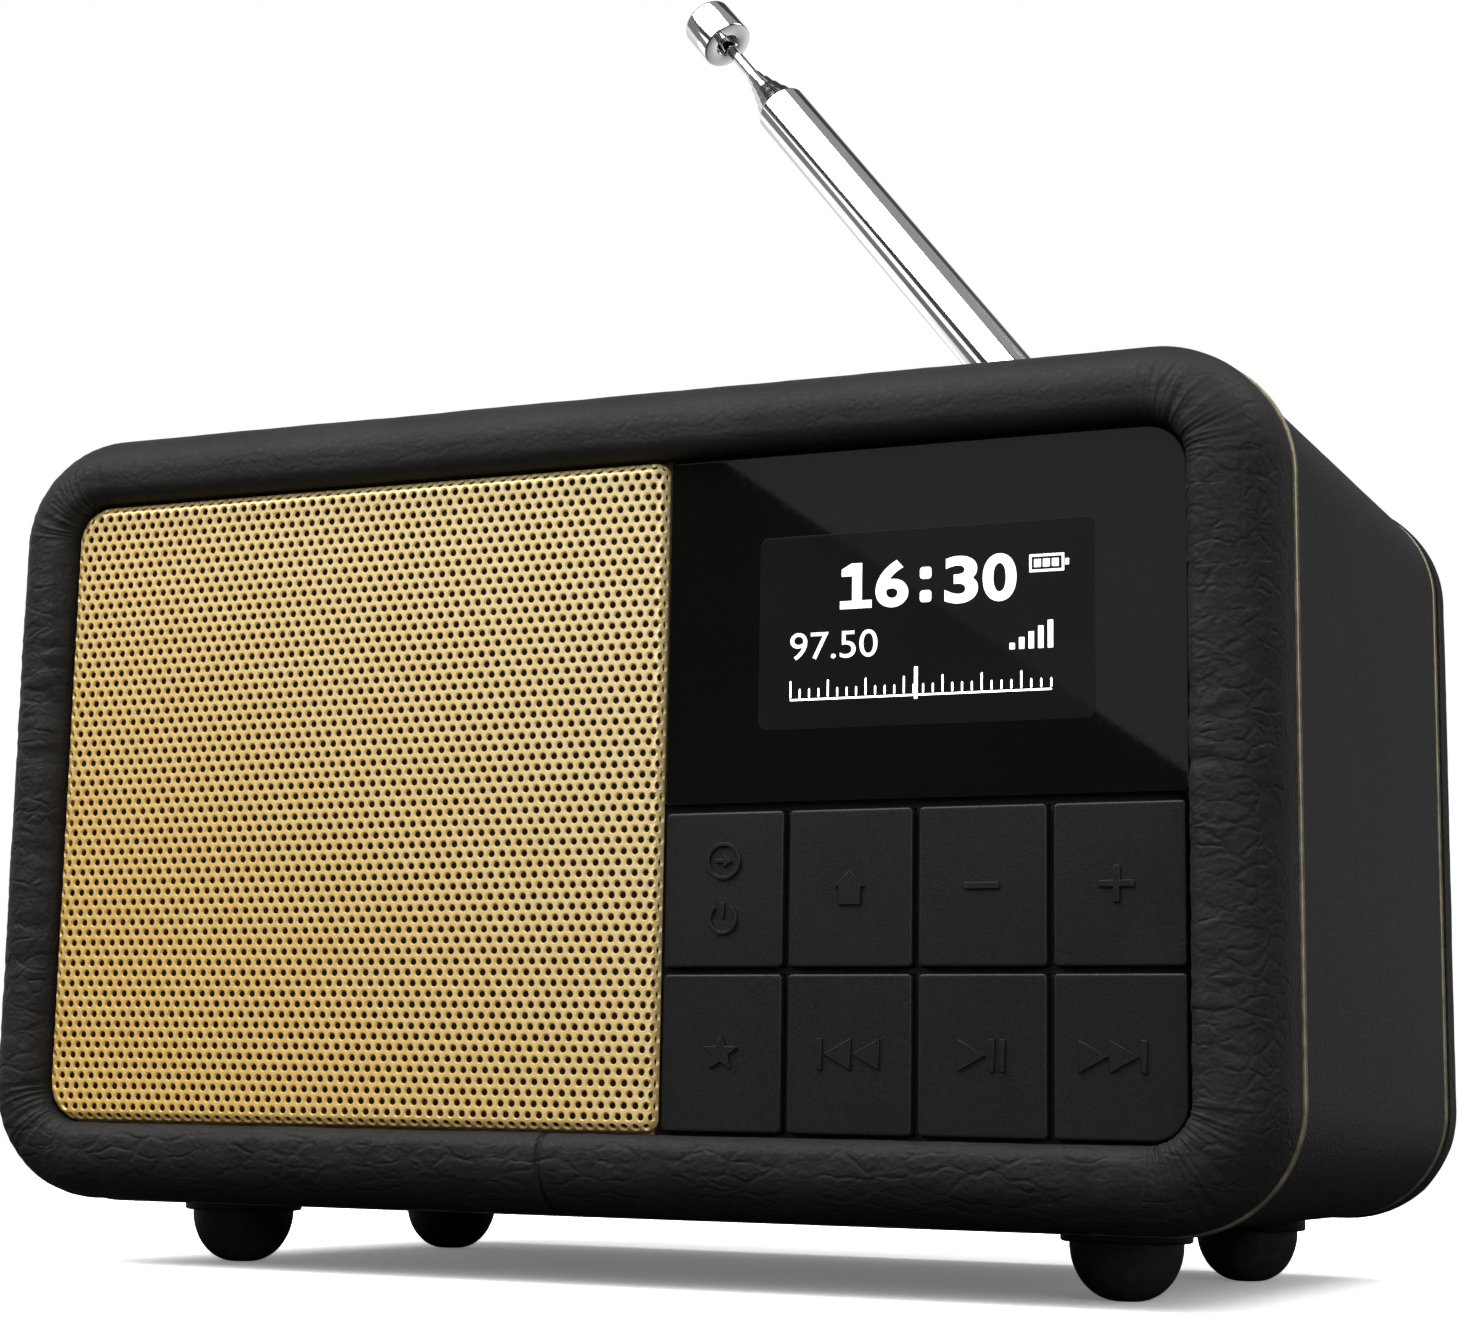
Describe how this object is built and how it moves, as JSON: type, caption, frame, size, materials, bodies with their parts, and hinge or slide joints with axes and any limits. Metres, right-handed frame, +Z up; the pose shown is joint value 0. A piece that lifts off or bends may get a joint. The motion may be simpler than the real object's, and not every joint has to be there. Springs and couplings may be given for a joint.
{
  "type": "leather portable radio",
  "caption": "Box radio in a padded black leather cabinet with gold grille, dark display, press buttons, rubber feet and a telescopic rear antenna.",
  "frame": {"origin": "on the surface the feet stand on, under the middle of the whole outline, antenna included", "axes": "+Z up, -Y towards the front panel, +X to the right as seen from the front"},
  "size_m": [0.1804, 0.1632, 0.2316],
  "materials": {
    "wood_board": "raw fibreboard",
    "leather_plain": "fine smooth grain",
    "leather_pebbled": "pebbled grain, gathered at the corners",
    "gold_piping": "satin gold",
    "gold_grille": "satin gold, perforated",
    "speaker_cloth": "open weave",
    "window_black": "mirror gloss",
    "screen": "gloss",
    "black_plastic": "fine texture",
    "button_plastic": "satin",
    "circuit_board": "solder mask",
    "speaker_metal": "semi-gloss",
    "speaker_rubber": "matte",
    "speaker_paper": "felted paper",
    "cell_sleeve": "shrink sleeve",
    "black_screws": "black oxide",
    "foot_rubber": "matte",
    "chrome": "polished"
  },
  "bodies": {
    "cabinet": {"cabinet_shell": "wood_board", "cabinet_leather": "leather_plain", "front_piping": "gold_piping", "rear_piping": "gold_piping", "front_frame": "wood_board", "front_frame_leather": "leather_pebbled", "rear_frame": "wood_board", "rear_frame_leather": "leather_pebbled", "front_baffle": "wood_board", "speaker_grille": "gold_grille", "grille_cloth": "speaker_cloth", "display_window": "window_black", "screen_module": "screen", "keypad_grid": "black_plastic", "keypad_board": "circuit_board", "speaker_basket": "speaker_metal", "speaker_surround": "speaker_rubber", "speaker_cone": "speaker_paper", "dust_cap": "speaker_paper", "speaker_magnet": "speaker_metal", "main_board": "circuit_board", "battery_tray": "black_plastic", "battery_cell_1": "cell_sleeve", "battery_cell_2": "cell_sleeve", "rear_panel": "black_plastic", "rear_screw_1": "black_screws", "rear_screw_2": "black_screws", "rear_screw_3": "black_screws", "rear_screw_4": "black_screws", "charging_socket": "chrome", "headphone_socket": "chrome", "foot_plate_front_left": "black_plastic", "foot_plate_front_right": "black_plastic", "foot_plate_rear_left": "black_plastic", "foot_plate_rear_right": "black_plastic", "foot_front_left": "foot_rubber", "foot_front_right": "foot_rubber", "foot_rear_left": "foot_rubber", "foot_rear_right": "foot_rubber", "antenna_bezel": "chrome"},
    "button_1_1": {"button_1_1": "button_plastic"},
    "button_1_2": {"button_1_2": "button_plastic"},
    "button_1_3": {"button_1_3": "button_plastic"},
    "button_1_4": {"button_1_4": "button_plastic"},
    "button_2_1": {"button_2_1": "button_plastic"},
    "button_2_2": {"button_2_2": "button_plastic"},
    "button_2_3": {"button_2_3": "button_plastic"},
    "button_2_4": {"button_2_4": "button_plastic"},
    "antenna_base": {"antenna_fork": "chrome", "antenna_pin": "chrome", "antenna_nut": "chrome"},
    "antenna_arm": {"antenna_knuckle": "chrome", "antenna_tube_1": "chrome"},
    "antenna_section_2": {"antenna_tube_2": "chrome"},
    "antenna_section_3": {"antenna_tube_3": "chrome"},
    "antenna_section_4": {"antenna_tube_4": "chrome"},
    "antenna_section_5": {"antenna_tube_5": "chrome"},
    "antenna_rod": {"antenna_rod": "chrome", "antenna_tip": "chrome"}
  },
  "joints": [
    {"name": "button_1_1_press", "type": "slide", "parent": "cabinet", "child": "button_1_1", "axis": [0, 1, 0], "range_m": [0, 0.0012], "stiffness_N_per_m": 800, "springref_m": -0.0004},
    {"name": "button_1_2_press", "type": "slide", "parent": "cabinet", "child": "button_1_2", "axis": [0, 1, 0], "range_m": [0, 0.0012], "stiffness_N_per_m": 800, "springref_m": -0.0004},
    {"name": "button_1_3_press", "type": "slide", "parent": "cabinet", "child": "button_1_3", "axis": [0, 1, 0], "range_m": [0, 0.0012], "stiffness_N_per_m": 800, "springref_m": -0.0004},
    {"name": "button_1_4_press", "type": "slide", "parent": "cabinet", "child": "button_1_4", "axis": [0, 1, 0], "range_m": [0, 0.0012], "stiffness_N_per_m": 800, "springref_m": -0.0004},
    {"name": "button_2_1_press", "type": "slide", "parent": "cabinet", "child": "button_2_1", "axis": [0, 1, 0], "range_m": [0, 0.0012], "stiffness_N_per_m": 800, "springref_m": -0.0004},
    {"name": "button_2_2_press", "type": "slide", "parent": "cabinet", "child": "button_2_2", "axis": [0, 1, 0], "range_m": [0, 0.0012], "stiffness_N_per_m": 800, "springref_m": -0.0004},
    {"name": "button_2_3_press", "type": "slide", "parent": "cabinet", "child": "button_2_3", "axis": [0, 1, 0], "range_m": [0, 0.0012], "stiffness_N_per_m": 800, "springref_m": -0.0004},
    {"name": "button_2_4_press", "type": "slide", "parent": "cabinet", "child": "button_2_4", "axis": [0, 1, 0], "range_m": [0, 0.0012], "stiffness_N_per_m": 800, "springref_m": -0.0004},
    {"name": "antenna_swivel", "type": "hinge", "parent": "cabinet", "child": "antenna_base", "pos_m": [0.05566, 0.0434, 0.0961], "axis": [0, 1, 0], "range_deg": [-50.2, 129.8]},
    {"name": "antenna_tilt", "type": "hinge", "parent": "antenna_base", "child": "antenna_arm", "pos_m": [0.05566, 0.0434, 0.0961], "axis": [-0.7683, 0, -0.6401], "range_deg": [-11, 79]},
    {"name": "antenna_slide_2", "type": "slide", "parent": "antenna_arm", "child": "antenna_section_2", "axis": [-0.6283, 0.1908, 0.7542], "range_m": [0, 0.115]},
    {"name": "antenna_slide_3", "type": "slide", "parent": "antenna_section_2", "child": "antenna_section_3", "axis": [-0.6283, 0.1908, 0.7542], "range_m": [0, 0.115]},
    {"name": "antenna_slide_4", "type": "slide", "parent": "antenna_section_3", "child": "antenna_section_4", "axis": [-0.6283, 0.1908, 0.7542], "range_m": [0, 0.115]},
    {"name": "antenna_slide_5", "type": "slide", "parent": "antenna_section_4", "child": "antenna_section_5", "axis": [-0.6283, 0.1908, 0.7542], "range_m": [0, 0.115]},
    {"name": "antenna_rod_slide", "type": "slide", "parent": "antenna_section_5", "child": "antenna_rod", "axis": [-0.6283, 0.1908, 0.7542], "range_m": [-0.0095, 0.11]}
  ]
}
